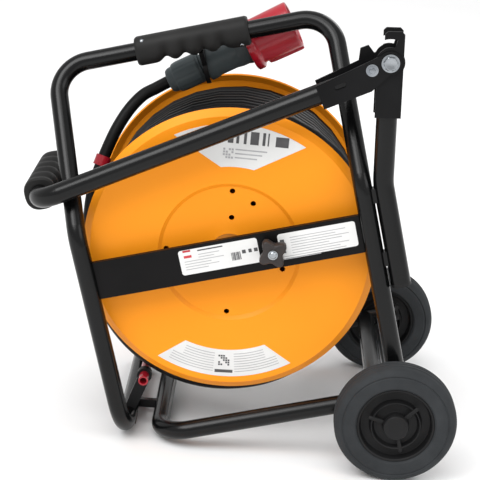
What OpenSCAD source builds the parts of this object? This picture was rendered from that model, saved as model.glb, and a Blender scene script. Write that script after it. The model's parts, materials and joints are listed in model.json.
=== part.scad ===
// Trolley cable reel: a bent tube frame on two wheels, a cantilevered steel drum
// with about 28 m of five core cable, a swing-up pull handle, a drum brake and sockets.
// Built in the frame's own axes (x along the front rail, y into the depth from the
// drum's front face, z up the uprights) and then tipped to stand on feet and wheels.

/* [Drum] */
// Diameter of both drum flanges
flange_d = 320; // [270:1:390]
// Drum width over both flanges
drum_w = 190; // [150:1:240]
// Diameter of the drum core
core_d = 212; // [190:1:236]
// Diameter of the wound cable pack
pack_d = 296; // [250:1:330]
// Diameter of the stub axle that carries the drum
stub_d = 16; // [12:0.5:24]

/* [Frame] */
// Outside diameter of the frame tubes
tube_d = 20; // [16:0.5:26]
// Wall of all tubes
wall = 2; // [1:0.1:3]
// Centre line radius of the tube bends
bend_r = 36; // [30:1:50]
// Backward lean of the upper part of the hoop, in degrees
lean = 33; // [25:1:38]
// Height of the front bearing strip
strip_h = 42; // [30:1:60]
// Height of the strip's middle above the drum axis
strip_rise = 2; // [0:0.5:4]
// Depth of the base frame between its rail centre lines
base_depth = 250; // [230:1:320]

/* [Wheels] */
// Diameter of the wheels
wheel_d = 133; // [110:1:165]
// Width of the tyres
tyre_w = 33; // [24:1:44]
// Diameter of the wheel axle
axle_d = 12; // [8:0.5:18]

/* [Pull handle] */
// Outside diameter of the post and arm tubes
arm_d = 22; // [18:0.5:26]
// Slope of the folded arm, in degrees
arm_slope = 10.5; // [4:0.5:16]
// Outside diameter of the pull grip
pull_grip_d = 36; // [30:0.5:42]
// Length of the pull grip
pull_grip_len = 122; // [90:1:140]

/* [Cable and plug] */
// Diameter of the cable
cable_d = 14; // [10:0.5:16]
// Diameter of the plug shroud
shroud_d = 54; // [46:1:58]

/* [Hidden] */
tube_r = tube_d / 2;
flange_r = flange_d / 2;
core_r = core_d / 2;
pack_r = pack_d / 2;
stub_r = stub_d / 2;
axle_r = axle_d / 2;
wheel_r = wheel_d / 2;
arm_r = arm_d / 2;
cable_r = cable_d / 2;
fit = 0.05;
gap = 0.3;
$fn = 64;

// Frame layout
hoop_y = -22;
hoop_x = flange_r - 5;
rim_clear = 4;
kink_y_room = tube_r / cos(lean) - hoop_y - 2 * tube_r;
edge_z = sqrt(pow(flange_r + rim_clear, 2) - pow(hoop_x - tube_r, 2));
kink_z = edge_z - max(0, kink_y_room) / tan(lean);
kink_cut = bend_r * tan(lean / 2);
top_y = 0.45 * drum_w;
top_z = kink_z + (top_y - hoop_y) / tan(lean);
rail_z = -(flange_r + 28);
rear_y = hoop_y + base_depth;
side_x = -(hoop_x - 37);
inner_side_x = hoop_x - 27;
axle_x = hoop_x - 10.5;
axle_z = rail_z - tube_r - axle_r;

// Ground line under the left side tube's foot and the wheels
foot_t = 3;
foot_r = tube_r + foot_t;
span_x = axle_x - side_x;
span_z = rail_z - axle_z;
tilt = asin((wheel_r - foot_r) / norm([span_x, span_z])) + atan(span_z / span_x);
ground = side_x * sin(tilt) + rail_z * cos(tilt) - foot_r;
cross_z = rail_z + (side_x + hoop_x) * tan(tilt);
cross_end_y = rear_y - 14;

// Wheels and axle along y
wheel_gap = 6;
front_wheel_y = hoop_y - tube_r - wheel_gap - tyre_w / 2;
rear_wheel_y = rear_y + tube_r + wheel_gap + tyre_w / 2;
cap_out = 5;

// Bearing strip
strip_t = 6;
strip_y = -23;
strip_back = strip_y + strip_t;

// Pull handle: post, pivot and arm
post_x = hoop_x + tube_r + arm_r + 1;
post_low = -0.37 * flange_r;
post_kink_z = kink_z - 2;
post_lean = 12.5;
post_bend_r = 60;
pivot_up = 131;
pivot_x = post_x + pivot_up * sin(post_lean);
pivot_z = post_kink_z + pivot_up * cos(post_lean);
pivot_r = 5;
arm_drop = 7;
arm_start = 29;
arm_bend_r = 28;
hand_room = 8;
arm_reach = (pivot_x + hoop_x + tube_r + hand_room + pull_grip_d / 2) / cos(arm_slope);
latch_out = 20;
latch_r = 4;
sheet = 2.5;
post_cheek_y = arm_r + 0.2;
arm_cheek_y = post_cheek_y + sheet + 0.3;
pull_grip_y = arm_bend_r + 2;

// Brake
knob_x = 49;
knob_r = 16.5;
lobe_r = 6;
screw_r = 4;
brake_travel = 2;

// Drum details
skin = 2;
dish_r = 76;
dish = 3;
rim_roll = 7;
hub_r = 21;
web_y = 0.56 * drum_w;
hub_end = web_y + 6;
stub_end = hub_end + 10;
panel_y = drum_w - 10;
panel_r = core_r - skin - 0.2;

// Sockets on the rear panel: [x, z]
duo_at = [[-46, 34], [46, 34]];
cee_at = [0, -44];
duo_r = 22;
cee_r = 27;
lid_t = 3;

// Free lead route, from the plug's tail around the left of the drum into the pack
lead_route = [
    [-40, 128, 173], [-47, 128, 171], [-56, 126, 168.5], [-72, 122, 164], [-90, 116, 152],
    [-107, 109, 135], [-123, 102, 114], [-137, 94, 92], [-149, 85, 68], [-157, 76, 42], [-162, 66, 14],
    [-163, 56, -16], [-158, 47, -46], [-147, 39, -76], [-130, 33, -103], [-107, 28, -126],
    [-80, 25, -144], [-50, 24, -156], [-18, 25, -162], [14, 28, -162], [46, 33, -155],
    [76, 40, -142], [101, 48, -121], [123, 56, -96]
];
lead_steps = 2;
ring_at = 13;

// Parked plug: its tail is on the route's first point
plug_at = lead_route[0];
plug_slope = 14;
body_r = 20;

// Middle of the box in the standing position
stand_left = grip_centre_x() - pull_grip_d / 2;
stand_right = axle_x * cos(tilt) - axle_z * sin(tilt) + wheel_r;
mid_x = (stand_left + stand_right) / 2;
mid_y = (front_wheel_y + rear_wheel_y) / 2;

function arm_point(s, p) = [
    pivot_x - s * cos(arm_slope) - p * sin(arm_slope),
    pivot_z - s * sin(arm_slope) + p * cos(arm_slope)
];
function grip_centre_x() = let (g = arm_point(arm_reach, -arm_drop)) g[0] * cos(tilt) - g[1] * sin(tilt);

// ---------- placing and shared shapes ----------

// Tips the frame's own axes into the standing position
module stand() {
    translate([-mid_x, -mid_y, -ground]) rotate([0, -tilt, 0]) children();
}

// A round bar along y
module bar_y(x, z, y0, y1, r) {
    translate([x, y0, z]) rotate([-90, 0, 0]) cylinder(h = y1 - y0, r = r);
}

// A solid turned about a y line; outline points are [radius, y]
module turned(x, z, outline) {
    translate([x, 0, z]) rotate([-90, 0, 0]) rotate_extrude() polygon(outline);
}

// A flat plate drawn in x and z with its front face at y
module plate(y, t) {
    translate([0, y + t, 0]) rotate([90, 0, 0]) linear_extrude(t) children();
}

module ring2d(r, w) {
    difference() {
        circle(r = r);
        circle(r = r - w);
    }
}

// A tube of straight runs and bends; each step is [length, bend angle, roll angle].
// A bend's wall is a hair thinner and laps into the straight runs.
module bent_tube(steps, r, w, bend, i = 0) {
    lap = 0.4;
    thin = 0.03;
    if (i < len(steps)) {
        run = steps[i];
        start = i > 0 ? lap : 0;
        finish = run[1] > 0 ? lap : 0;
        translate([0, 0, -start]) linear_extrude(run[0] + start + finish) ring2d(r, w, $fn = 40);
        translate([0, 0, run[0]]) rotate([0, 0, run[2]]) {
            if (run[1] > 0) {
                translate([bend, 0, 0]) rotate([90, 0, 180]) rotate_extrude(angle = run[1], $fn = 40)
                    translate([bend, 0]) ring2d(r - thin, w - 2 * thin, $fn = 40);
            }
            translate([bend, 0, 0]) rotate([0, run[1], 0]) translate([-bend, 0, 0])
                bent_tube(steps, r, w, bend, i + 1);
        }
    }
}

// ---------- frame ----------

slant = (top_y - hoop_y) / sin(lean);

// Side foot, left upright, top bar and right upright in one bent tube
module hoop_tube() {
    color("#101114") difference() {
        translate([-hoop_x, cross_end_y, cross_z]) rotate([90, -90, 0]) bent_tube([
            [cross_end_y - hoop_y - bend_r, 90, 0],
            [kink_z - kink_cut - cross_z - bend_r, lean, 0],
            [slant - kink_cut - bend_r, 90, -90],
            [2 * (hoop_x - bend_r), 90, 0],
            [slant - kink_cut - bend_r, lean, 90],
            [kink_z - kink_cut - rail_z, 0, 0]
        ], tube_r, wall, bend_r);
        translate([0, hoop_y, rail_z]) rotate([0, 90, 0]) cylinder(h = hoop_x * 1.3, r = tube_r);
    }
}

rail_end_x = hoop_x + 12;

// Front rail, left side tube and rear rail in one bent tube
module base_tube() {
    color("#101114") translate([rail_end_x, hoop_y, rail_z]) rotate([-90, 0, 0]) rotate([0, -90, 0])
        bent_tube([
            [rail_end_x - side_x - bend_r, 90, 0],
            [base_depth - 2 * bend_r, 90, 0],
            [rail_end_x - side_x - bend_r, 0, 0]
        ], tube_r, wall, bend_r);
}

// Side tube by the wheels, fitted between the rails
module inner_side_tube() {
    color("#101114") difference() {
        translate([inner_side_x, hoop_y, rail_z]) rotate([-90, 0, 0])
            linear_extrude(base_depth) ring2d(tube_r, wall);
        for (y = [hoop_y, rear_y]) {
            translate([inner_side_x - 20, y, rail_z]) rotate([0, 90, 0]) cylinder(h = 40, r = tube_r);
        }
    }
}

tie_t = 6;
tie_half_h = 5;
tie_at = [60, cross_end_y - 30];

// Two short plates tie the hoop's foot to the left side tube
module foot_ties() {
    color("#141518") difference() {
        for (y = tie_at) {
            plate(y, tie_t) polygon([
                [-hoop_x, cross_z - tie_half_h], [side_x, rail_z - tie_half_h],
                [side_x, rail_z + tie_half_h], [-hoop_x, cross_z + tie_half_h]
            ]);
        }
        bar_y(-hoop_x, cross_z, 0, rear_y, tube_r);
        bar_y(side_x, rail_z, 0, rear_y, tube_r);
    }
}

// Flat strip across the front that carries the drum
module bearing_strip() {
    color("#28262a") difference() {
        translate([-hoop_x, strip_y, strip_rise - strip_h / 2]) cube([2 * hoop_x, strip_t, strip_h]);
        for (x = [-hoop_x, hoop_x]) {
            translate([x, hoop_y, -strip_h]) cylinder(h = 2 * strip_h, r = tube_r);
        }
        bar_y(0, 0, strip_y - 1, strip_back + 1, stub_r);
        bar_y(knob_x, strip_rise, strip_y - 1, strip_back + 1, screw_r + 1.5);
    }
}

// Stub axle with a collar against the strip
module stub_axle() {
    color("#9a9ea2") union() {
        bar_y(0, 0, strip_y, stub_end, stub_r);
        bar_y(0, 0, strip_back, strip_back + 2, stub_r + collar_out);
    }
}

collar_out = 6;
washer_y = hub_end + 1.5;
nut_y = washer_y + 2;
nut_h = 5.5;

module stub_washer() {
    color("#b4b8bb") difference() {
        bar_y(0, 0, washer_y, nut_y, stub_r + collar_out);
        bar_y(0, 0, washer_y - 1, nut_y + 1, stub_r);
    }
}

module stub_nut() {
    color("#b4b8bb") difference() {
        translate([0, nut_y, 0]) rotate([-90, 0, 0]) cylinder(h = nut_h, r = stub_r + collar_out, $fn = 6);
        bar_y(0, 0, nut_y - 1, nut_y + nut_h + 1, stub_r);
    }
}

cap_t = 3;

// Plastic plugs in the open tube ends
module tube_caps() {
    color("#161616") {
        bar_y(-hoop_x, cross_z, cross_end_y, cross_end_y + cap_t, tube_r);
        bar_y(-hoop_x, cross_z, cross_end_y - 8, cross_end_y + cap_t, tube_r - wall);
        for (y = [hoop_y, rear_y]) {
            translate([rail_end_x, y, rail_z]) rotate([0, 90, 0]) cylinder(h = cap_t, r = tube_r);
            translate([rail_end_x - 8, y, rail_z]) rotate([0, 90, 0])
                cylinder(h = 8 + cap_t, r = tube_r - wall);
        }
        translate([post_x, hoop_y, post_low - cap_t]) cylinder(h = cap_t, r = arm_r);
        translate([post_x, hoop_y, post_low - cap_t]) cylinder(h = cap_t + 8, r = arm_r - wall);
    }
}

pad_w = 18;
pad_len = 26;
pad_at = [30, rear_y - 60];

// Rubber pads under both left side tubes, flat on the ground
module foot_pads() {
    color("#1c1c1c") for (tube = [[-hoop_x, cross_z], [side_x, rail_z]], y = pad_at) {
        difference() {
            translate([tube[0], y, tube[1]]) rotate([0, tilt, 0]) translate([-pad_w / 2, 0, -foot_r])
                cube([pad_w, pad_len, foot_r - 2]);
            bar_y(tube[0], tube[1], y - 1, y + pad_len + 1, tube_r);
        }
    }
}

axle_end = tyre_w / 2 + 1;

module wheel_axle() {
    color("#9a9ea2") bar_y(axle_x, axle_z, front_wheel_y - axle_end, rear_wheel_y + axle_end, axle_r);
}

// Spacer rings between the rails and the wheel hubs
module axle_spacers() {
    color("#2a2a2a") difference() {
        union() {
            bar_y(axle_x, axle_z, hoop_y - tube_r - wheel_gap + 1, hoop_y - tube_r, axle_r + 4);
            bar_y(axle_x, axle_z, rear_y + tube_r, rear_y + tube_r + wheel_gap - 1, axle_r + 4);
        }
        bar_y(axle_x, axle_z, front_wheel_y, rear_wheel_y, axle_r);
    }
}

// ---------- post and its bracket ----------

post_cut = post_bend_r * tan(post_lean / 2);
post_top = pivot_up - 13;

module post_tube() {
    color("#101114") translate([post_x, hoop_y, post_low]) bent_tube([
        [post_kink_z - post_cut - post_low, post_lean, 0],
        [post_top - post_cut, 0, 0]
    ], arm_r, wall, post_bend_r);
}

// Weld runs between the post and the right upright
module post_welds() {
    weld_h = 16;
    weld_w = 11;
    color("#15161a") difference() {
        for (z = [34, post_low + 22]) {
            translate([hoop_x, hoop_y - weld_w / 2, z]) cube([post_x - hoop_x, weld_w, weld_h]);
        }
        translate([hoop_x, hoop_y, post_low - 10]) cylinder(h = 4 * flange_r, r = tube_r);
        translate([post_x, hoop_y, post_low - 10]) cylinder(h = 4 * flange_r, r = arm_r);
    }
}

// Places a shape drawn about the pivot, with z along the leaning post
module on_post() {
    translate([pivot_x, hoop_y, pivot_z]) rotate([0, post_lean, 0]) children();
}

post_side = arm_r + sheet;
cheek_low = -58;
hook_top = latch_out + latch_r + 8;

// Side outline of the post bracket, about the pivot
module post_cheek2d() {
    difference() {
        union() {
            polygon([
                [-post_side, cheek_low], [post_side, cheek_low], [post_side, hook_top - 3],
                [post_side - 3, hook_top], [-4, hook_top], [-7, hook_top - 3], [-7, 0],
                [-post_side, -12]
            ]);
            circle(r = latch_out - latch_r - gap - 0.6);
        }
        // the latch pin's way into the hook
        difference() {
            circle(r = latch_out + latch_r + gap);
            circle(r = latch_out - latch_r - gap);
            polygon([[0, 0], [-66, -46], [-66, -80], [80, -80], [80, 80], [21, 77]]);
        }
        circle(r = pivot_r);
    }
}

// Folded sheet bracket round the post, open towards the arm
module post_bracket() {
    color("#343434") on_post() {
        plate(-post_cheek_y - sheet, sheet) post_cheek2d();
        plate(post_cheek_y, sheet) post_cheek2d();
        translate([post_side - sheet, -post_cheek_y - 0.1, cheek_low])
            cube([sheet, 2 * post_cheek_y + 0.2, hook_top - 8 - cheek_low]);
    }
}

module pivot_bolt() {
    head_y = -arm_cheek_y - sheet - 0.4;
    color("#c8cdd2") on_post() {
        bar_y(0, 0, head_y, -head_y + 7, pivot_r);
        translate([0, head_y - 5, 0]) rotate([-90, 0, 0]) cylinder(h = 5, r = 9, $fn = 6);
    }
}

module pivot_nut() {
    color("#c8cdd2") on_post() difference() {
        translate([0, arm_cheek_y + sheet + 0.4, 0]) rotate([-90, 0, 0]) cylinder(h = 6, r = 9, $fn = 6);
        bar_y(0, 0, 0, 40, pivot_r);
    }
}

// ---------- grip on the top bar ----------

grip_half = 63;
grip_r = 16;
groove_pitch = 23;
rivet_x = grip_half - 9;
rivet_r = 2.2;

// Moulded sleeve on the top bar with finger grooves below
module top_grip() {
    color("#3c3a38") translate([0, top_y, top_z]) rotate([0, 90, 0]) difference() {
        translate([0, 0, -grip_half]) rotate_extrude() polygon([
            [tube_r, 0], [grip_r - 2, 0], [grip_r, 3], [grip_r, 2 * grip_half - 3],
            [grip_r - 2, 2 * grip_half], [tube_r, 2 * grip_half]
        ]);
        for (i = [-1.5 : 1.5]) {
            translate([grip_r + 11.5, -25, i * groove_pitch]) rotate([-90, 0, 0]) cylinder(h = 50, r = 14);
        }
        for (z = [-rivet_x, rivet_x]) {
            translate([0, -grip_r - 1, z]) rotate([-90, 0, 0]) cylinder(h = grip_r, r = rivet_r);
        }
    }
}

module top_grip_rivets() {
    color("#c8cdd2") for (x = [-rivet_x, rivet_x]) {
        translate([x, top_y - grip_r - 0.6, top_z]) rotate([-90, 0, 0])
            cylinder(h = grip_r - tube_r + 0.4, r = rivet_r);
    }
}

// ---------- plug clip, guard bar ----------

clip_s = 47;
clip_x = plug_at[0] + clip_s * cos(plug_slope);
clip_y = plug_at[1];
clip_z = plug_at[2] + clip_s * sin(plug_slope);
clip_w = 5;
clip_t = 2.5;

// Narrow strap under the top grip that holds the parked plug's body
module plug_clip() {
    cut_w = 2 * clip_w;
    color("#1d1d1f") difference() {
        translate([clip_x - clip_w / 2, 0, 0]) rotate([90, 0, 90]) linear_extrude(clip_w) {
            translate([top_y, top_z]) circle(r = tube_r + clip_t);
            translate([clip_y, clip_z]) circle(r = body_r + clip_t);
            polygon([
                [top_y, top_z + tube_r], [top_y, top_z - tube_r],
                [clip_y - body_r, clip_z], [clip_y, clip_z + body_r]
            ]);
        }
        translate([clip_x - clip_w, top_y, top_z]) rotate([0, 90, 0]) cylinder(h = cut_w, r = grip_r);
        along_plug(0) cylinder(h = 120, r = body_r);
        translate([clip_x - clip_w, clip_y - body_r / 2, clip_z - 3 * body_r])
            cube([cut_w, 3 * body_r, 2.6 * body_r]);
    }
}

guard_x = -0.79 * flange_r;
guard_z = -0.84 * flange_r;
guard_r = 5.5;
guard_front = 10;
guard_bracket_t = 8;
guard_bracket_at = [guard_front + 16, cross_end_y - 30];

// Red sleeve below the drum's left edge that keeps slack turns off the frame
module guard_bar() {
    color("#b01c28") difference() {
        bar_y(guard_x, guard_z, guard_front, cross_end_y - 18, guard_r);
        bar_y(guard_x, guard_z, guard_front - 1, guard_front + 14, guard_r - 1.5);
    }
}

module guard_brackets() {
    color("#1a1a1c") difference() {
        for (y = guard_bracket_at) {
            plate(y, guard_bracket_t) union() {
                translate([guard_x, guard_z]) circle(r = guard_r + 3);
                polygon([
                    [guard_x - guard_r, guard_z + 3], [guard_x + guard_r + 2, guard_z - 2],
                    [-hoop_x + 8, cross_z + 2], [-hoop_x - 7, cross_z + 2]
                ]);
            }
        }
        bar_y(guard_x, guard_z, 0, rear_y, guard_r);
        bar_y(-hoop_x, cross_z, 0, rear_y, tube_r);
    }
}

// ---------- labels ----------

label_t = 0.4;

// A rounded label sheet, corners made of exact circles
module label2d(w, h, r) {
    square([w, h - 2 * r], center = true);
    square([w - 2 * r, h], center = true);
    for (x = [-1, 1], z = [-1, 1]) {
        translate([x * (w / 2 - r), z * (h / 2 - r)]) circle(r = r);
    }
}

// Two label sheets on the bearing strip
module strip_labels() {
    color("#f2f2f0") {
        translate([-9, 0, strip_rise + 3]) plate(strip_y - label_t, label_t) label2d(86, 28, 3);
        translate([98, 0, strip_rise + 2]) plate(strip_y - label_t, label_t) label2d(84, 28, 3);
    }
}

function polar(r, a) = [r * cos(a), r * sin(a)];

// A label between two radii, its straight sides spreading outwards from a middle angle
module fan2d(middle, inner, outer, half_in, half_out) {
    tip = polar(outer, half_out);
    foot = polar(inner, half_in);
    rotate(middle) difference() {
        intersection() {
            circle(r = outer);
            polygon([
                [foot[0], -foot[1]], [tip[0], -tip[1]], [2 * outer, -tip[1]],
                [2 * outer, tip[1]], [tip[0], tip[1]], [foot[0], foot[1]]
            ]);
        }
        circle(r = inner);
    }
}

// Two label sheets on the drum's front face
module disc_labels() {
    color("#f2f2f0") {
        plate(-label_t, label_t) fan2d(73.5, flange_r - 63, flange_r - 16, 10.6, 29.3);
        plate(-label_t, label_t) fan2d(-104, flange_r - 46.5, flange_r - 15, 22.6, 30.6);
    }
}

// ---------- drum brake ----------

boss_y = strip_back + 7;
shoe_front = boss_y + 1;
shoe_back = dish - brake_travel - gap;
knob_y = strip_y - 3 - brake_travel;

// Threaded boss welded behind the strip
module brake_boss() {
    color("#9a9ea2") difference() {
        translate([knob_x, strip_back, strip_rise]) rotate([-90, 0, 0]) cylinder(h = 7, r = 11, $fn = 6);
        bar_y(knob_x, strip_rise, strip_y, 0, screw_r + fit);
    }
}

// Four-lobed clamping knob
module brake_knob() {
    color("#4b4442") translate([knob_x, 0, strip_rise]) difference() {
        union() {
            plate(knob_y - 13, 13) {
                circle(r = knob_r - 5);
                for (a = [24 : 90 : 294]) {
                    rotate(a) translate([knob_r - lobe_r, 0]) circle(r = lobe_r);
                }
            }
            bar_y(0, 0, knob_y - 1, knob_y + 2, 6);
        }
        bar_y(0, 0, knob_y - 20, knob_y + 10, screw_r);
    }
}

module brake_screw() {
    color("#c8cdd2") {
        bar_y(knob_x, strip_rise, knob_y - 14, shoe_front + 2, screw_r);
        translate([knob_x, knob_y - 17, strip_rise]) rotate([-90, 0, 0])
            cylinder(h = 4, r = 7, $fn = 6);
    }
}

// Pad that the screw presses on the drum's face
module brake_shoe() {
    color("#202020") difference() {
        bar_y(knob_x, strip_rise, shoe_front, shoe_back, 12);
        bar_y(knob_x, strip_rise, shoe_front - 1, shoe_front + 2, screw_r + fit);
    }
}

// ---------- pull handle ----------

// Places a shape drawn about the pivot, with z along the folded arm and x above it
module on_arm() {
    translate([pivot_x, hoop_y, pivot_z]) rotate([0, -90 - arm_slope, 0]) children();
}

module arm_tube() {
    color("#101114") on_arm() translate([-arm_drop, 0, arm_start]) bent_tube([
        [arm_reach - arm_bend_r - arm_start, 90, 90],
        [pull_grip_len + 4, 0, 0]
    ], arm_r, wall, arm_bend_r);
}

arm_low = -arm_drop - arm_r;
arm_plate_len = 80;

// Side outline of the arm bracket: x above the arm, y along it
module arm_cheek2d() {
    difference() {
        union() {
            circle(r = 12);
            polygon([
                [11, 4], [9, 26], [5, arm_plate_len], [arm_low - sheet, arm_plate_len],
                [arm_low - sheet, 28], [-11, 4]
            ]);
        }
        circle(r = pivot_r + fit);
        translate([0, latch_out]) circle(r = latch_r);
        translate([-4, 52]) circle(r = 2.5);
        translate([-4, 60]) circle(r = 2.5);
        translate([-6.5, 52]) square([5, 8]);
    }
}

// Folded sheet bracket on the arm's end, with a finger lug on the far side
module arm_bracket() {
    color("#343434") on_arm() {
        plate(-arm_cheek_y - sheet, sheet) arm_cheek2d();
        plate(arm_cheek_y, sheet) {
            arm_cheek2d();
            polygon([[9, 12], [20, 15], [20, 24], [9, 30]]);
        }
        translate([arm_low - sheet, -arm_cheek_y - 0.1, 28])
            cube([sheet, 2 * arm_cheek_y + 0.2, arm_plate_len - 28]);
    }
}

liner_t = arm_cheek_y - arm_r + 4;

// Packing plates between the arm tube and its bracket
module arm_liners() {
    color("#101114") on_arm() difference() {
        for (side = [-1, 1]) {
            middle = side * (arm_cheek_y + arm_r - 4) / 2;
            translate([arm_low + 3, middle - liner_t / 2, 36]) cube([2 * arm_r - 6, liner_t, 38]);
        }
        translate([-arm_drop, 0, 0]) cylinder(h = 200, r = arm_r);
    }
}

module latch_pin() {
    color("#c8cdd2") on_arm() {
        bar_y(0, latch_out, -arm_cheek_y - sheet - 1, arm_cheek_y + sheet + 1, latch_r);
        bar_y(0, latch_out, -arm_cheek_y - sheet - 3, -arm_cheek_y - sheet, 6.5);
        bar_y(0, latch_out, arm_cheek_y + sheet, arm_cheek_y + sheet + 3, 6.5);
    }
}

// Sleeve with finger ridges on the arm's end
module pull_grip() {
    ridges = 5;
    ridge_w = 8;
    pitch = (pull_grip_len - ridge_w - 4) / ridges;
    color("#3c3a38") on_arm() translate([-arm_drop, pull_grip_y, arm_reach]) rotate([-90, 0, 0])
        difference() {
            union() {
                cylinder(h = pull_grip_len, r = pull_grip_d / 2 - 1.5);
                for (i = [0 : ridges]) {
                    translate([0, 0, 2 + i * pitch]) cylinder(h = ridge_w, r = pull_grip_d / 2);
                }
            }
            translate([0, 0, -1]) cylinder(h = pull_grip_len + 2, r = arm_r);
        }
}

module arm_cap() {
    end_y = arm_bend_r + pull_grip_len + 4;
    color("#161616") on_arm() translate([-arm_drop, end_y, arm_reach]) rotate([-90, 0, 0]) {
        cylinder(h = cap_t, r = arm_r);
        translate([0, 0, -8]) cylinder(h = 8 + cap_t, r = arm_r - wall);
    }
}

// ---------- wheels ----------

rim_r = 0.63 * wheel_r;

module tyre(y) {
    w = tyre_w / 2;
    color("#3e4448") translate([0, y, 0]) turned(axle_x, axle_z, [
        [rim_r, -w + 2], [rim_r + 2, -w], [wheel_r - 9, -w], [wheel_r - 3, -w + 4],
        [wheel_r, -w + 10], [wheel_r, w - 10], [wheel_r - 3, w - 4], [wheel_r - 9, w],
        [rim_r + 2, w], [rim_r, w - 2]
    ]);
}

hub_disc_r = 0.41 * wheel_r;

// Moulded wheel centre: bead ring, thin web and a hub disc with three short ribs
module rim(y) {
    w = tyre_w / 2 - 2;
    web = 5;
    bead = 4;
    color("#191918") translate([0, y, 0]) difference() {
        union() {
            turned(axle_x, axle_z, [
                [axle_r + fit, -w], [hub_disc_r, -w], [hub_disc_r, -web], [rim_r - bead, -web],
                [rim_r - bead, -w], [rim_r, -w], [rim_r, w], [rim_r - bead, w], [rim_r - bead, web],
                [hub_disc_r, web], [hub_disc_r, w], [axle_r + fit, w]
            ]);
            for (a = [90 : 120 : 330]) {
                translate([axle_x, 0, axle_z]) rotate([0, a, 0])
                    translate([hub_disc_r - 1, -w, -1.5]) cube([4, 2 * w, 3]);
            }
        }
        bar_y(axle_x, axle_z, -tyre_w, tyre_w, axle_r + fit);
    }
}

// Push-on cap that holds a wheel on the axle
module wheel_cap(y, side) {
    hub_y = tyre_w / 2 - 2 + gap;
    color("#32302d") translate([0, y, 0]) turned(axle_x, axle_z, [
        [axle_r, side * hub_y], [axle_r + 8, side * hub_y], [axle_r + 8, side * (hub_y + 3)],
        [axle_r + 4, side * (hub_y + 6)], [0, side * (hub_y + 6)], [0, side * axle_end],
        [axle_r, side * axle_end]
    ]);
}

module front_tyre() { tyre(front_wheel_y); }
module rear_tyre() { tyre(rear_wheel_y); }
module front_rim() { rim(front_wheel_y); }
module rear_rim() { rim(rear_wheel_y); }
module front_cap() { wheel_cap(front_wheel_y, -1); }
module rear_cap() { wheel_cap(rear_wheel_y, 1); }

// ---------- drum ----------

rivet_ring = dish_r - 7;
rivet_turn = 76;
hole_at = [[36, 49], [53, -30], [10, 38]];

module front_flange() {
    color("#f0861c") difference() {
        turned(0, 0, [
            [hub_r, dish], [dish_r - 2, dish], [dish_r + 2, 0], [flange_r - 8, 0], [flange_r, rim_roll],
            [flange_r - 1.5, rim_roll + 1.5], [flange_r - 9, skin], [dish_r + 2.8, skin],
            [dish_r - 1.2, dish + skin], [hub_r, dish + skin]
        ]);
        for (i = [0 : 3]) {
            a = rivet_turn + 90 * i;
            bar_y(rivet_ring * cos(a), rivet_ring * sin(a), -1, 10, 3);
        }
        for (p = hole_at) {
            bar_y(p[0], p[1], -1, 10, 3);
        }
    }
}

module rear_flange() {
    inner = core_r - skin;
    color("#f0861c") turned(0, 0, [
        [inner, drum_w], [flange_r - 8, drum_w], [flange_r, drum_w - rim_roll],
        [flange_r - 1.5, drum_w - rim_roll - 1.5], [flange_r - 9, drum_w - skin],
        [inner, drum_w - skin]
    ]);
}

module drum_core() {
    color("#f0861c") turned(0, 0, [
        [core_r - skin, skin], [core_r, skin], [core_r, drum_w - skin], [core_r - skin, drum_w - skin]
    ]);
}

hub_front = strip_back + 3;
bush_len = 18;

// Tube round the stub axle, its nose in front of the drum's face
module hub_tube() {
    color("#9a9ea2") turned(0, 0, [
        [hub_r - 3, hub_front], [hub_r, hub_front], [hub_r, hub_end], [hub_r - 3, hub_end]
    ]);
}

module hub_bushes() {
    color("#d8d4c8") for (y = [hub_front, hub_end - bush_len]) {
        turned(0, 0, [
            [stub_r + fit, y], [hub_r - 3, y], [hub_r - 3, y + bush_len], [stub_r + fit, y + bush_len]
        ]);
    }
}

// Disc inside the core that carries the rear of the hub
module core_web() {
    color("#f0861c") turned(0, 0, [
        [hub_r, web_y - 3], [core_r - skin, web_y - 3], [core_r - skin, web_y], [hub_r, web_y]
    ]);
}

// ---------- sockets ----------

panel_t = 4;
face_y = panel_y + panel_t;
duo_well = 17;
lug_half = 7;
pin_r = 1.5;

module socket_panel() {
    color("#222224") difference() {
        bar_y(0, 0, panel_y, face_y, panel_r);
        for (p = duo_at) {
            bar_y(p[0], p[1], panel_y - 1, face_y + 1, duo_r - 2);
        }
        bar_y(cee_at[0], cee_at[1], panel_y - 1, face_y + 1, cee_r - 1);
    }
}

// Hinge pin between two lugs above a socket; y and z are those of the pin
module hinge_lugs(x, y, z, base_y) {
    for (side = [-1, 1]) {
        translate([x + side * (lug_half + 1.5) - 1.5, base_y, z - 3]) cube([3, y - base_y, 6]);
        translate([x + side * (lug_half + 1.5) - 1.5, y, z]) rotate([0, 90, 0]) cylinder(h = 3, r = 3);
    }
    translate([x - lug_half - 1, y, z]) rotate([0, 90, 0]) cylinder(h = 2 * lug_half + 2, r = pin_r);
    translate([x - lug_half - 3, base_y, z - 7]) cube([2 * lug_half + 6, 2, 4.1]);
}

// A round lid with its knuckle; y is the lid's inner face, r its radius
module lid(x, y, z, r, hinge_z) {
    pin_y = y + lid_t / 2;
    difference() {
        union() {
            bar_y(x, z, y, y + lid_t, r);
            translate([x - lug_half + gap, pin_y, hinge_z]) rotate([0, 90, 0])
                cylinder(h = 2 * lug_half - 2 * gap, r = 2.9);
            translate([x - lug_half + gap, y, z + r - 4])
                cube([2 * lug_half - 2 * gap, lid_t, hinge_z - z - r + 4]);
        }
        translate([x - 20, pin_y, hinge_z]) rotate([0, 90, 0]) cylinder(h = 40, r = pin_r + fit);
    }
}

duo_lid_y = face_y + 2 + gap;
duo_hinge = duo_r + 3.2;

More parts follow.
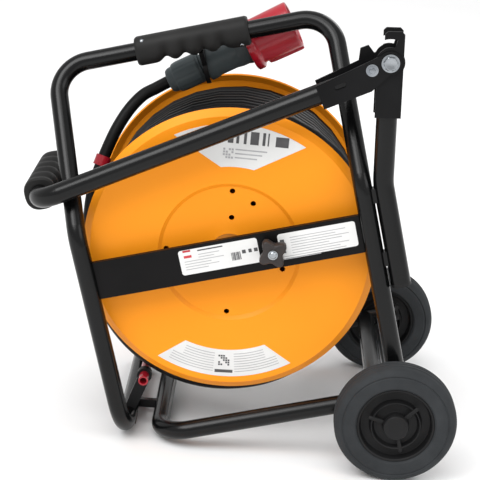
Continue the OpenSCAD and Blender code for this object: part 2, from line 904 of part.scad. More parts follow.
module duo_socket(p) {
    color("#2c2c2e") difference() {
        union() {
            bar_y(p[0], p[1], panel_y - 26, face_y, duo_r - 2);
            bar_y(p[0], p[1], face_y, face_y + 2, duo_r);
            hinge_lugs(p[0], duo_lid_y + lid_t / 2, p[1] + duo_hinge, face_y);
        }
        bar_y(p[0], p[1], face_y + 2 - duo_well, face_y + 3, duo_r - 3.2);
        for (side = [-1, 1]) {
            bar_y(p[0] + side * 9.5, p[1], panel_y - 20, face_y + 3, 2.6);
        }
    }
}

module duo_socket_left() { duo_socket(duo_at[0]); }
module duo_socket_right() { duo_socket(duo_at[1]); }
module duo_lid(p) {
    color("#2c2c2e") lid(p[0], duo_lid_y, p[1], duo_r - 0.5, p[1] + duo_hinge);
}
module duo_lid_left() { duo_lid(duo_at[0]); }
module duo_lid_right() { duo_lid(duo_at[1]); }

cee_face = face_y + 12;
cee_lid_y = cee_face + gap;
cee_hinge = cee_r + 4;

well_floor = cee_face - 30;

// Shroud of the industrial socket, closed behind
module cee_socket() {
    color("#b01c28") difference() {
        union() {
            bar_y(cee_at[0], cee_at[1], panel_y - 26, cee_face, cee_r - 1);
            bar_y(cee_at[0], cee_at[1], face_y, face_y + 3, cee_r + 1);
            hinge_lugs(cee_at[0], cee_lid_y + lid_t / 2, cee_at[1] + cee_hinge, face_y);
        }
        bar_y(cee_at[0], cee_at[1], well_floor, cee_face + 1, cee_r - 3.5);
    }
}

// Insert with the five contact holes
module cee_insert() {
    contact_ring = 12;
    color("#2c2c2e") difference() {
        bar_y(cee_at[0], cee_at[1], well_floor, cee_face - 2, cee_r - 9);
        for (a = [18 : 72 : 306]) {
            bar_y(
                cee_at[0] + contact_ring * cos(a), cee_at[1] + contact_ring * sin(a),
                well_floor + 2, cee_face, 2.8
            );
        }
    }
}

module cee_lid() {
    color("#b01c28") lid(cee_at[0], cee_lid_y, cee_at[1], cee_r, cee_at[1] + cee_hinge);
}

// ---------- cable, lead and plug ----------

// Outer shape of the wound cable
module cable_pack() {
    color("#141415") turned(0, 0, [
        [core_r + 0.1, skin + gap], [pack_r, skin + gap], [pack_r, drum_w - skin - gap],
        [core_r + 0.1, drum_w - skin - gap]
    ]);
}

function lead_at(i) = lead_route[max(0, min(len(lead_route) - 1, i))];

// Smooth curve through the route's points; t runs from 0 to the last index
function lead_curve(t) = let (
    i = min(floor(t), len(lead_route) - 2), u = t - i,
    a = lead_at(i - 1), b = lead_at(i), c = lead_at(i + 1), d = lead_at(i + 2)
) (2 * b + (c - a) * u + (2 * a - 5 * b + 4 * c - d) * u * u + (3 * b - a - 3 * c + d) * u * u * u) / 2;
function unit(v) = v / norm(v);

// The loose lead, one swept tube
module lead_cable() {
    sides = 10;
    last = (len(lead_route) - 1) * lead_steps;
    centres = [for (i = [0 : last]) lead_curve(i / lead_steps)];
    points = [for (i = [0 : last]) let (
        along = unit(centres[min(last, i + 1)] - centres[max(0, i - 1)]),
        out = unit(cross(along, [0, 1, 0])), up = cross(out, along)
    ) for (k = [0 : sides - 1]) let (a = 360 * k / sides)
        centres[i] + cable_r * (cos(a) * out + sin(a) * up)];
    faces = concat(
        [[for (k = [0 : sides - 1]) k]],
        [for (i = [0 : last - 1], k = [0 : sides - 1]) let (n = (k + 1) % sides, b = i * sides)
            [b + k, b + sides + k, b + sides + n, b + n]],
        [[for (k = [0 : sides - 1]) last * sides + sides - 1 - k]]
    );
    color("#141415") polyhedron(points, faces);
}

// Places a shape on the plug's axis, s from its tail
module along_plug(s) {
    translate(plug_at + s * [cos(plug_slope), 0, sin(plug_slope)])
        rotate([0, 90 - plug_slope, 0]) children();
}

plug_len = 156;
collar_s = 99;
well_s = 116;
shroud_r = shroud_d / 2;
collar_r = shroud_r + 4;

// Grey handle and gland nut
module plug_body() {
    color("#4e5658") along_plug(0) rotate_extrude() polygon([
        [0, 0], [11, 0], [13.5, 3], [13.5, 22], [15.5, 23], [16.5, 42], [body_r, 48],
        [body_r, collar_s - 6], [body_r + 2, collar_s], [0, collar_s]
    ]);
}

// Red collar and shroud with its key
module plug_front() {
    color("#b01c28") along_plug(0) difference() {
        union() {
            rotate_extrude() polygon([
                [0, collar_s], [collar_r, collar_s], [collar_r, collar_s + 9],
                [shroud_r, collar_s + 13], [shroud_r, plug_len], [0, plug_len]
            ]);
            translate([shroud_r - 2, -5, collar_s + 12]) cube([5, 10, plug_len - collar_s - 12]);
        }
        translate([0, 0, well_s]) cylinder(h = 60, r = shroud_r - 3);
    }
}

module plug_pins() {
    color("#c9b87a") along_plug(well_s) for (a = [0 : 72 : 288]) {
        rotate(a) translate([14, 0, 0]) cylinder(h = 30, r = a == 0 ? 3 : 2.5);
    }
}

// Red marker ring on the lead
module lead_ring() {
    mid = lead_curve(ring_at / lead_steps);
    along = unit(lead_curve((ring_at + 1) / lead_steps) - lead_curve((ring_at - 1) / lead_steps));
    color("#b01c28") translate(mid) rotate([0, acos(along[2]), atan2(along[1], along[0])])
        translate([0, 0, -6]) linear_extrude(12) ring2d(cable_r + 2, 1.4);
}

stand() hoop_tube();
stand() base_tube();
stand() inner_side_tube();
stand() foot_ties();
stand() bearing_strip();
stand() stub_axle();
stand() stub_washer();
stand() stub_nut();
stand() tube_caps();
stand() foot_pads();
stand() wheel_axle();
stand() axle_spacers();
stand() post_tube();
stand() post_welds();
stand() post_bracket();
stand() pivot_bolt();
stand() pivot_nut();
stand() top_grip();
stand() top_grip_rivets();
stand() plug_clip();
stand() guard_bar();
stand() guard_brackets();
stand() strip_labels();
stand() brake_boss();
stand() brake_knob();
stand() brake_screw();
stand() brake_shoe();
stand() arm_tube();
stand() arm_bracket();
stand() arm_liners();
stand() latch_pin();
stand() pull_grip();
stand() arm_cap();
stand() front_tyre();
stand() front_rim();
stand() front_cap();
stand() rear_tyre();
stand() rear_rim();
stand() rear_cap();
stand() front_flange();
stand() rear_flange();
stand() drum_core();
stand() hub_tube();
stand() hub_bushes();
stand() core_web();
stand() socket_panel();
stand() cee_socket();
stand() cee_insert();
stand() cee_lid();
stand() duo_socket_left();
stand() duo_socket_right();
stand() duo_lid_left();
stand() duo_lid_right();
stand() disc_labels();
stand() cable_pack();
stand() lead_cable();
stand() plug_body();
stand() plug_front();
stand() plug_pins();
stand() lead_ring();
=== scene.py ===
import json
import math

import bmesh
import bpy
from mathutils import Matrix, Vector


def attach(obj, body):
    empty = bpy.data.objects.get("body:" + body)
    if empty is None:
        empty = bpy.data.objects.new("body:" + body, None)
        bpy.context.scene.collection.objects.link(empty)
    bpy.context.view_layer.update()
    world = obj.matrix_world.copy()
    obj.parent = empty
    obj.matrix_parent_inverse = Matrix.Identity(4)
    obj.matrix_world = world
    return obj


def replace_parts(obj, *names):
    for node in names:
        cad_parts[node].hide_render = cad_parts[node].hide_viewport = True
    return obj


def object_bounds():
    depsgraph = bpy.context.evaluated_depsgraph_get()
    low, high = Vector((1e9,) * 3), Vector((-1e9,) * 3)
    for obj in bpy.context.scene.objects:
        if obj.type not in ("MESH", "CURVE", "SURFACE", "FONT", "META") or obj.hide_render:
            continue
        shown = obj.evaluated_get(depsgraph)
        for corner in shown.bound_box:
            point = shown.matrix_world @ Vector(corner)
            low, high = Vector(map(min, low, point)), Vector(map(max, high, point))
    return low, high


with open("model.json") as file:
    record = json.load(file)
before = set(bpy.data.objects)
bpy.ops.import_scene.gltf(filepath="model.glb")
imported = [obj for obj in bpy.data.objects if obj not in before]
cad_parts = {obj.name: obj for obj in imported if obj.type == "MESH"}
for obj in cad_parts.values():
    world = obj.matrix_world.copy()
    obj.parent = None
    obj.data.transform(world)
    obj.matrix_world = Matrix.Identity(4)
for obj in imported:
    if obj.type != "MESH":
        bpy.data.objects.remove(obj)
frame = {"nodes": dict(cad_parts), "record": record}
CAD_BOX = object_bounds()
RECORD = frame["record"]
NODES = frame["nodes"]
SLOT_OF = {part["node"]: part["material_slot"] for part in RECORD["subparts"]}
BODY_OF = {node: body for body, nodes in RECORD["behaviour"]["bodies"].items() for node in nodes}
MM = 0.001

# ---------- the frame's own axes in the row frame ----------

JOINTS = {joint["name"]: joint for joint in RECORD["behaviour"]["joints"]}
DRUM_AT = Vector(JOINTS["drum_turn"]["pos_m"])
RIGHT = Vector(JOINTS["duo_lid_left_hinge"]["axis"]).normalized()
DEPTH = Vector((0, 1, 0))
UP = RIGHT.cross(DEPTH)
OWN_AXES = Matrix((RIGHT, DEPTH, UP)).transposed()


def own(x, y, z):
    """A point given in millimetres along the frame's own axes, from the drum's front face."""
    return DRUM_AT + OWN_AXES @ Vector((x, y, z)) * MM


def own_of(point):
    """The other way round: a row frame point in millimetres along the frame's own axes."""
    return OWN_AXES.transposed() @ (Vector(point) - DRUM_AT) / MM


def own_box(node):
    """A CAD node's lowest and highest corners along the frame's own axes."""
    spots = [own_of(vertex.co) for vertex in NODES[node].data.vertices]
    return [Vector([pick(p[i] for p in spots) for i in range(3)]) for pick in (min, max)]


# ---------- camera ----------

CAMERA_AT = (162.4, -1599.7, 508.8)
CAMERA_LOOK = Vector((-0.0881, 0.9513, -0.2953))
CAMERA_UP = Vector((0.1755, 0.3066, 0.9355))
CAMERA_LENS = 116.3


def make_camera():
    data = bpy.data.cameras.new("camera")
    data.lens = CAMERA_LENS
    data.sensor_width = 36
    data.clip_start = 0.05
    camera = bpy.data.objects.new("camera", data)
    bpy.context.scene.collection.objects.link(camera)
    back = (OWN_AXES @ -CAMERA_LOOK).normalized()
    side = (OWN_AXES @ CAMERA_UP).cross(back).normalized()
    turn = Matrix((side, back.cross(side), back)).transposed()
    camera.matrix_world = Matrix.Translation(own(*CAMERA_AT)) @ turn.to_4x4()
    bpy.context.scene.camera = camera


# ---------- materials ----------


class Look:
    """Builds one procedural material around a Principled shader."""

    def __init__(self, name, roughness=0.5, **inputs):
        self.material = bpy.data.materials.new(name)
        self.material.use_nodes = True
        self.tree = self.material.node_tree
        self.shader = self.tree.nodes["Principled BSDF"]
        self.shader.inputs["Roughness"].default_value = roughness
        for key, value in inputs.items():
            self.shader.inputs[key.replace("_", " ")].default_value = value
        self.coordinates = self.tree.nodes.new("ShaderNodeTexCoord").outputs["Object"]
        self.height = None

    def link(self, a, b):
        self.tree.links.new(a, b)

    def noise(self, scale, detail=3.0, rough=0.5, stretch=(1, 1, 1)):
        mapping = self.tree.nodes.new("ShaderNodeMapping")
        mapping.inputs["Scale"].default_value = stretch
        self.link(self.coordinates, mapping.inputs["Vector"])
        node = self.tree.nodes.new("ShaderNodeTexNoise")
        node.inputs["Scale"].default_value = scale
        node.inputs["Detail"].default_value = detail
        node.inputs["Roughness"].default_value = rough
        self.link(mapping.outputs["Vector"], node.inputs["Vector"])
        return node.outputs["Fac"]

    def cells(self, scale):
        node = self.tree.nodes.new("ShaderNodeTexVoronoi")
        node.inputs["Scale"].default_value = scale
        self.link(self.coordinates, node.inputs["Vector"])
        return node.outputs["Distance"]

    def ramp(self, value, stops):
        node = self.tree.nodes.new("ShaderNodeValToRGB")
        ramp = node.color_ramp
        while len(ramp.elements) < len(stops):
            ramp.elements.new(0.5)
        for element, (place, colour) in zip(ramp.elements, stops):
            element.position = place
            element.color = (*colour, 1) if len(colour) == 3 else colour
        self.link(value, node.inputs["Fac"])
        return node.outputs["Color"]

    def span(self, value, low, high):
        node = self.tree.nodes.new("ShaderNodeMapRange")
        node.inputs["To Min"].default_value = low
        node.inputs["To Max"].default_value = high
        self.link(value, node.inputs["Value"])
        return node.outputs["Result"]

    def colour(self, value, dark, light, low=0.3, high=0.7):
        self.link(self.ramp(value, [(low, dark), (high, light)]), self.shader.inputs["Base Color"])
        return self

    def rough(self, value, low, high):
        self.link(self.span(value, low, high), self.shader.inputs["Roughness"])
        return self

    def bump(self, value, strength, distance):
        node = self.tree.nodes.new("ShaderNodeBump")
        node.inputs["Strength"].default_value = strength
        node.inputs["Distance"].default_value = distance
        self.link(value, node.inputs["Height"])
        if self.height is not None:
            self.link(self.height, node.inputs["Normal"])
        self.height = node.outputs["Normal"]
        self.link(self.height, self.shader.inputs["Normal"])
        return self


def coated_tube():
    """Gloss black powder coat: a faint orange peel and soft scuffs."""
    look = Look("gloss_powder_coat", 0.2, Specular_IOR_Level=0.26)
    look.colour(look.noise(6, 4), (0.002, 0.0021, 0.0022), (0.0036, 0.0038, 0.004))
    look.rough(look.noise(45, 4), 0.16, 0.28)
    return look.bump(look.noise(900, 2), 0.12, 0.0003).material


def satin_steel(name, dark, light):
    look = Look(name, 0.42, Specular_IOR_Level=0.12)
    look.colour(look.noise(18, 4), dark, light)
    look.rough(look.noise(60, 4), 0.36, 0.5)
    return look.bump(look.noise(1400, 2), 0.15, 0.0003).material


def orange_coat():
    """Satin orange coat on the drum sheet, with a slow change of tone."""
    look = Look("orange_coat", 0.42, Specular_IOR_Level=0.18)
    look.colour(look.noise(3.5, 5), (0.93, 0.295, 0.009), (0.98, 0.33, 0.014), 0.25, 0.75)
    look.rough(look.noise(30, 4), 0.34, 0.46)
    return look.bump(look.noise(1100, 2), 0.1, 0.0003).material


def moulded(name, dark, light, low=0.42, high=0.6, grain=1500):
    look = Look(name, 0.5, Specular_IOR_Level=0.22)
    look.colour(look.noise(14, 4), dark, light)
    look.rough(look.noise(50, 3), low, high)
    return look.bump(look.noise(grain, 3), 0.25, 0.0004).material


def metal(name, dark, light, low, high):
    look = Look(name, 0.3, Metallic=1.0)
    look.colour(look.noise(40, 5), dark, light)
    look.rough(look.noise(120, 4), low, high)
    return look.bump(look.noise(700, 3, stretch=(1, 6, 1)), 0.12, 0.0002).material


def tyre_rubber():
    """Grey solid rubber with fine dust in its pores."""
    look = Look("tyre_rubber", 0.72, Specular_IOR_Level=0.3)
    look.colour(look.noise(22, 6, 0.65), (0.015, 0.017, 0.019), (0.028, 0.031, 0.034))
    look.rough(look.noise(80, 4), 0.62, 0.8)
    look.bump(look.noise(500, 4), 0.3, 0.0005)
    return look.bump(look.cells(900), 0.15, 0.0003).material


def cable_rubber():
    """Black rubber sheath with drawing lines and a little talc."""
    look = Look("cable_rubber", 0.45, Specular_IOR_Level=0.2)
    look.colour(look.noise(35, 6, 0.7), (0.0018, 0.0018, 0.002), (0.005, 0.005, 0.0053))
    look.rough(look.noise(70, 5), 0.36, 0.55)
    return look.bump(look.noise(800, 3), 0.2, 0.0004).material


def label_film():
    look = Look("label_film", 0.35, Coat_Weight=0.2)
    look.colour(look.noise(25, 4), (0.68, 0.68, 0.67), (0.76, 0.76, 0.75))
    look.rough(look.noise(60, 3), 0.3, 0.42)
    return look.bump(look.noise(600, 2), 0.05, 0.0002).material


def label_ink(name, dark, light):
    look = Look(name, 0.45)
    look.colour(look.noise(90, 3), dark, light)
    return look.bump(look.noise(900, 2), 0.05, 0.0001).material


def gloss_red():
    look = Look("gloss_red", 0.3, Coat_Weight=0.15)
    look.colour(look.noise(20, 4), (0.33, 0.004, 0.014), (0.42, 0.008, 0.022))
    look.rough(look.noise(70, 3), 0.24, 0.38)
    return look.bump(look.noise(1300, 2), 0.12, 0.0003).material


SLOT_LOOKS = {
    "frame_black": coated_tube(),
    "strip_black": satin_steel("strip_coat", (0.003, 0.0029, 0.003), (0.0055, 0.005, 0.0053)),
    "bracket_black": satin_steel("bracket_coat", (0.004, 0.004, 0.0043), (0.0075, 0.0075, 0.008)),
    "zinc": metal("zinc_plate", (0.23, 0.25, 0.275), (0.38, 0.4, 0.42), 0.16, 0.3),
    "steel": metal("turned_steel", (0.34, 0.35, 0.37), (0.48, 0.49, 0.5), 0.25, 0.4),
    "soft_black": moulded(
        "grip_rubber", (0.008, 0.0079, 0.0078), (0.016, 0.0157, 0.0154), 0.5, 0.68, 1100
    ),
    "plastic_black": moulded("black_plastic", (0.005, 0.005, 0.0053), (0.011, 0.011, 0.0115)),
    "knob_plastic": moulded("knob_plastic", (0.03, 0.0255, 0.0245), (0.046, 0.039, 0.0375), 0.34, 0.48),
    "rubber_pad": moulded("pad_rubber", (0.01, 0.01, 0.01), (0.02, 0.02, 0.02), 0.6, 0.8, 700),
    "tyre_rubber": tyre_rubber(),
    "orange_sheet": orange_coat(),
    "label": label_film(),
    "bush_nylon": moulded("bush_nylon", (0.55, 0.53, 0.45), (0.66, 0.64, 0.56)),
    "cable_black": cable_rubber(),
    "plug_grey": moulded("plug_grey", (0.05, 0.062, 0.066), (0.072, 0.088, 0.093), 0.4, 0.55),
    "red_plastic": gloss_red(),
    "brass": metal("pin_brass", (0.55, 0.4, 0.15), (0.72, 0.56, 0.26), 0.2, 0.35),
}
INK = label_ink("label_ink", (0.05, 0.05, 0.053), (0.08, 0.08, 0.083))
INK_PALE = label_ink("label_ink_pale", (0.36, 0.36, 0.37), (0.44, 0.44, 0.45))
INK_RED = label_ink("label_red", (0.45, 0.02, 0.03), (0.55, 0.04, 0.05))


def dress_nodes():
    for node, slot_name in SLOT_OF.items():
        for slot in NODES[node].material_slots:
            slot.material = SLOT_LOOKS[slot_name]


# ---------- making pieces ----------


def add_piece(name, mesh, slot, body, look=None, smooth=True):
    piece = bpy.data.objects.new(name, mesh)
    bpy.context.scene.collection.objects.link(piece)
    if hasattr(mesh, "polygons"):
        for face in mesh.polygons:
            face.use_smooth = smooth
    mesh.materials.append(look or SLOT_LOOKS[slot])
    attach(piece, body)
    return piece


def stand_in(name, mesh, node, look=None, smooth=True):
    """A piece that takes the place of one CAD node, on the same body and with the same slot."""
    piece = add_piece(name, mesh, SLOT_OF[node], BODY_OF[node], look, smooth)
    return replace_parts(piece, node)


def close_mesh(name, points, faces, crease=35):
    """A mesh with merged doubles, outward normals and hard edges where faces meet sharply."""
    mesh = bpy.data.meshes.new(name)
    mesh.from_pydata([tuple(p) for p in points], [], faces)
    shape = bmesh.new()
    shape.from_mesh(mesh)
    bmesh.ops.remove_doubles(shape, verts=shape.verts, dist=1e-6)
    bmesh.ops.recalc_face_normals(shape, faces=shape.faces)
    for edge in shape.edges:
        edge.smooth = len(edge.link_faces) == 2 and edge.calc_face_angle(0) < math.radians(crease)
    shape.to_mesh(mesh)
    shape.free()
    return mesh


def join_meshes(name, meshes):
    shape = bmesh.new()
    for mesh in meshes:
        shape.from_mesh(mesh)
    joined = bpy.data.meshes.new(name)
    shape.to_mesh(joined)
    shape.free()
    return joined


def rounded(outline, radius, steps=4):
    """A closed outline with each corner turned into a short curve."""
    corners = [Vector(p) for p in outline]
    line = []
    for i, corner in enumerate(corners):
        before, after = corners[i - 1] - corner, corners[(i + 1) % len(corners)] - corner
        cut = min(radius, before.length * 0.45, after.length * 0.45)
        start, end = corner + before.normalized() * cut, corner + after.normalized() * cut
        for k in range(steps + 1):
            u = k / steps
            line.append(start * (1 - u) ** 2 + corner * 2 * u * (1 - u) + end * u * u)
    return line


def loft(name, rings, ends="ring", crease=35):
    """Faces between rings of own points; ends are joined round as a ring or closed with caps."""
    count = len(rings[0])
    points = [own(*p) for ring in rings for p in ring]
    faces = []
    spans = len(rings) if ends == "ring" else len(rings) - 1
    for i in range(spans):
        a, b = i * count, (i + 1) % len(rings) * count
        faces += [(a + k, a + (k + 1) % count, b + (k + 1) % count, b + k) for k in range(count)]
    if ends == "caps":
        faces += [tuple(range(count)), tuple(range((len(rings) - 1) * count, len(rings) * count))]
    return close_mesh(name, points, faces, crease)


def spun(name, x, z, outline, steps=96):
    """A closed outline of [radius, y] points turned about the y line through x and z."""
    rings = []
    for k in range(steps):
        angle = 2 * math.pi * k / steps
        rings.append([(x + r * math.cos(angle), y, z + r * math.sin(angle)) for r, y in outline])
    return loft(name, rings)


def slab(points, y, thickness):
    """A thin plate: its outline in x and z, its front face at y."""
    front = [(x, y, z) for x, z in points]
    back = [(x, y + thickness, z) for x, z in points]
    return loft("slab", [front, back], "caps")


def smooth_points(route, steps):
    """A smooth line through the route's points, with the same formula as the CAD model's tube."""
    points = [Vector(p) for p in route]
    line = []
    for i in range(len(points) - 1):
        a, b = points[max(0, i - 1)], points[i]
        c, d = points[i + 1], points[min(len(points) - 1, i + 2)]
        for k in range(steps):
            u = k / steps
            square, cube = 2 * a - 5 * b + 4 * c - d, 3 * b - a - 3 * c + d
            cubic = 2 * b + (c - a) * u + square * u**2 + cube * u**3
            line.append(cubic / 2)
    line.append(points[-1])
    return line


def cable_curve(name, points, radius, sides):
    curve = bpy.data.curves.new(name, "CURVE")
    curve.dimensions = "3D"
    curve.bevel_depth = radius
    curve.bevel_resolution = sides
    curve.use_fill_caps = True
    spline = curve.splines.new("POLY")
    spline.points.add(len(points) - 1)
    for target, point in zip(spline.points, points):
        target.co = (*point, 1)
    spline.use_smooth = True
    return curve


# ---------- cords ----------

CABLE_D = 0.014
LEAD_ROUTE = [
    (-40, 128, 173), (-47, 128, 171), (-56, 126, 168.5), (-72, 122, 164), (-90, 116, 152),
    (-107, 109, 135), (-123, 102, 114), (-137, 94, 92), (-149, 85, 68), (-157, 76, 42), (-162, 66, 14),
    (-163, 56, -16), (-158, 47, -46), (-147, 39, -76), (-130, 33, -103), (-107, 28, -126),
    (-80, 25, -144), (-50, 24, -156), (-18, 25, -162), (14, 28, -162), (46, 33, -155),
    (76, 40, -142), (101, 48, -121), (123, 56, -96),
]
PLUG_SLOPE = math.radians(14)
PLUG_ALONG = Vector((math.cos(PLUG_SLOPE), 0, math.sin(PLUG_SLOPE)))
PLUG_UP = Vector((-math.sin(PLUG_SLOPE), 0, math.cos(PLUG_SLOPE)))
PLUG_SIDE = Vector((0, -1, 0))
PACK_INNER = 106
FIRST_LAYER = PACK_INNER + 7
WIND_LOW, WIND_HIGH = 9.6, 180.4
TURNS_A_LAYER = 12
TURN_STEPS = 32


def lead_points():
    """The lead's middle line: out of the plug's inside, then along the route."""
    tail = Vector(LEAD_ROUTE[0])
    inside = [tail + PLUG_ALONG * s for s in (15, 10, 5)]
    return [own(*p) for p in inside + smooth_points(LEAD_ROUTE, 8)]


def wound_points():
    """The turns on the drum: two full layers and part of a third, which ends at the lead."""
    end_x, end_y, end_z = LEAD_ROUTE[-1]
    end_angle = math.atan2(end_z, end_x)
    pitch = (WIND_HIGH - WIND_LOW) / TURNS_A_LAYER
    last_turns = (WIND_HIGH - end_y) / pitch
    turns = 2 * TURNS_A_LAYER + last_turns + 1.5
    rise = 0.5
    steps = round(turns * TURN_STEPS)
    points = []
    for i in range(steps + 1):
        turn = turns * i / steps
        layer, y = 0, WIND_HIGH
        if turn < TURNS_A_LAYER:
            y = WIND_HIGH - pitch * turn
        elif turn < TURNS_A_LAYER + rise:
            y = WIND_LOW
            layer = (turn - TURNS_A_LAYER) / rise
        elif turn < 2 * TURNS_A_LAYER + rise:
            y = WIND_LOW + pitch * (turn - TURNS_A_LAYER - rise)
            layer = 1
        elif turn < 2 * TURNS_A_LAYER + 2 * rise:
            y = WIND_HIGH
            layer = 1 + (turn - 2 * TURNS_A_LAYER - rise) / rise
        else:
            y = WIND_HIGH - pitch * (turn - 2 * TURNS_A_LAYER - 2 * rise)
            layer = 2
        radius = FIRST_LAYER + 14 * layer
        left = turns - turn
        if left < rise:
            lift = 1 - left / rise
            radius += (math.hypot(end_x, end_z) - radius) * lift * lift * (3 - 2 * lift)
            y += (end_y - y) * lift
        angle = end_angle + 2 * math.pi * left
        points.append(own(radius * math.cos(angle), y, radius * math.sin(angle)))
    return points


def make_cords():
    lead_line = lead_points()
    lead = add_piece("lead", cable_curve("lead", lead_line, CABLE_D / 2, 6), "cable_black", "frame")
    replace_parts(lead, "lead_cable")
    on_lead = make_plug()
    wound_line = wound_points()
    wound_mesh = cable_curve("wound_cable", wound_line, CABLE_D / 2, 3)
    wound = add_piece("wound_cable", wound_mesh, "cable_black", "drum")
    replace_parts(wound, "cable_pack")


# ---------- moulded grips ----------

GRIP_WALL_STEPS = 40
GRIP_BORE_GAP = 0.2
FRAME_TUBE_R = 10
ARM_TUBE_R = 11
TOP_GRIP_HALF = (15.8, 16)
GROOVES_DOWN = math.radians(-68)
GROOVES_BACK = math.radians(35)


def grip_section(angle, half_w, half_h, power=2.5):
    """One point of a soft rounded box; the angle runs from the side that faces away."""
    c, s = math.cos(angle), math.sin(angle)
    size = (abs(c / half_w) ** power + abs(s / half_h) ** power) ** (-1 / power)
    return size * c, size * s


def grip_rings(length, half_w, half_h, bore, grooves, pitch, depth, wave_side):
    """Rings (along, across, up) of a sleeve with finger grooves on the side at wave_side."""
    stations = [0, 0.6, 1.6, 3.2] + [4 + (length - 8) * k / 96 for k in range(97)]
    stations += [length - 3.2, length - 1.6, length - 0.6, length]
    rings = []
    for s in stations:
        edge = min(s, length - s)
        pull = 1.6 * max(0, 1 - edge / 3.2) ** 2
        ring = []
        for k in range(GRIP_WALL_STEPS):
            angle = 2 * math.pi * k / GRIP_WALL_STEPS
            u, v = grip_section(angle, half_w - pull, half_h - pull)
            facing = max(0, math.cos(angle - wave_side))
            wave = 0
            for g in range(grooves):
                middle = length / 2 + (g - (grooves - 1) / 2) * pitch
                wave += math.exp(-(((s - middle) / (0.28 * pitch)) ** 2))
            cut = 1 - depth * min(1, wave) * facing ** 0.7 / math.hypot(u, v)
            ring.append((s, u * cut, v * cut))
        rings.append(ring)
    turns = [2 * math.pi * k / GRIP_WALL_STEPS for k in range(GRIP_WALL_STEPS)]
    for s in (length, 0):
        rings.append([(s, bore * math.cos(turn), bore * math.sin(turn)) for turn in turns])
    return rings


def make_top_grip():
    low, high = own_box("top_grip")
    middle = (low + high) / 2
    rings = grip_rings(
        high.x - low.x, *TOP_GRIP_HALF, FRAME_TUBE_R + GRIP_BORE_GAP, 4, 21, 5.4, GROOVES_DOWN
    )
    placed = [[(low.x + s, middle.y - u, middle.z + v) for s, u, v in ring] for ring in rings]
    stand_in("top_grip_sleeve", loft("top_grip_sleeve", placed), "top_grip")
    heads = []
    for x, slant in ((low.x + 9, 48), (high.x - 10, -50)):
        lean = math.radians(slant)
        out = Vector((0, -math.cos(lean), math.sin(lean)))
        reach = math.hypot(*grip_section(lean, *TOP_GRIP_HALF)) - 0.5
        heads.append(dome("rivet", Vector((x, middle.y, middle.z)) + out * reach, out, 2.2, 1.5))
    stand_in("top_grip_rivet_heads", join_meshes("rivets", heads), "top_grip_rivets")


def dome(name, foot, out, radius, height):
    """A low button head on the direction out."""
    side = out.orthogonal().normalized()
    other = out.cross(side)
    rings = []
    for lift, share in ((0, 1), (0.35, 1), (0.7, 0.86), (0.9, 0.62), (1, 0.3)):
        rings.append([
            foot + out * height * lift
            + (side * math.cos(a) + other * math.sin(a)) * radius * share
            for a in (2 * math.pi * k / 20 for k in range(20))
        ])
    return loft(name, rings, "caps", 60)


def make_pull_grip():
    low, high = own_box("pull_grip")
    middle = (low + high) / 2
    radius = (high.z - low.z) / 2
    rings = grip_rings(
        high.y - low.y, radius - 0.4, radius, ARM_TUBE_R + GRIP_BORE_GAP, 5, 22, 4.2, GROOVES_BACK
    )
    placed = [[(middle.x + u, low.y + s, middle.z + v) for s, u, v in ring] for ring in rings]
    stand_in("pull_grip_sleeve", loft("pull_grip_sleeve", placed), "pull_grip")


# ---------- wheels ----------

TREAD_GROOVES = (-6, 0, 6)


def make_tyre(node):
    low, high = own_box(node)
    middle = (low + high) / 2
    outer = (high.z - low.z) / 2
    w = (high.y - low.y) / 2
    bead = 0.63 * outer
    side = [
        (bead, -w + 2.6), (bead + 1.2, -w + 1.2), (bead + 2.2, -w + 0.2), (bead + 4, -w),
        (outer - 10.5, -w), (outer - 9.7, -w + 0.9), (outer - 8.9, -w + 0.9), (outer - 8.1, -w + 0.1),
        (outer - 6.5, -w + 0.8), (outer - 3.6, -w + 2.6), (outer - 1.4, -w + 5.4),
        (outer - 0.35, -w + 8.5),
    ]
    tread = []
    for groove in TREAD_GROOVES:
        tread += [
            (outer, groove - 1.5), (outer - 0.9, groove - 0.9),
            (outer - 0.9, groove + 0.9), (outer, groove + 1.5),
        ]
    outline = side + tread + [(r, -y) for r, y in reversed(side)]
    smooth = rounded(outline, 0.8, 2)
    placed = [(p[0], p[1] + middle.y) for p in smooth]
    stand_in(node + "_moulded", spun(node, middle.x, middle.z, placed, 128), node)


def make_rim(node, cap_node):
    """Wheel centre: a cup round the axle, an open ring round the cup, and three round ribs."""
    low, high = own_box(node)
    middle = (low + high) / 2
    outer = (high.z - low.z) / 2
    w = (high.y - low.y) / 2
    bore = 6.05
    face = [
        (bore, -w), (13.4, -w), (14.4, -w + 6), (23.6, -w + 6.4), (25.4, -w + 0.5), (26.9, -w),
        (28.2, -w + 8.8), (outer - 4.2, -w + 9.4), (outer - 2.6, -w + 0.6), (outer, -w),
    ]
    outline = rounded(face + [(r, -y) for r, y in reversed(face)], 0.9, 3)
    placed = [(p[0], p[1] + middle.y) for p in outline]
    parts = [spun(node, middle.x, middle.z, placed, 96)]
    for angle in (30, 150, 270):
        along = Vector((math.cos(math.radians(angle)), 0, math.sin(math.radians(angle))))
        for side in (-1, 1):
            parts.append(rib(middle, along, side * (w - 1.2)))
    stand_in(node + "_moulded", join_meshes(node, parts), node)
    make_cap(cap_node, middle)


def rib(middle, along, y):
    """A rod with round ends, lying on the cup's lip."""
    across = Vector((-along.z, 0, along.x))
    out = Vector((0, 1 if y > 0 else -1, 0))
    rings = []
    for place, share in ((13, 0.9), (17, 1), (24, 1), (29.5, 1), (31, 0.75), (31.7, 0.3)):
        foot = middle + Vector((0, y, 0)) + along * place
        rings.append([
            foot + (across * math.cos(a) * 2.3 + out * math.sin(a) * 1.5) * share
            for a in (2 * math.pi * k / 14 for k in range(14))
        ])
    return loft("rib", rings, "caps", 50)


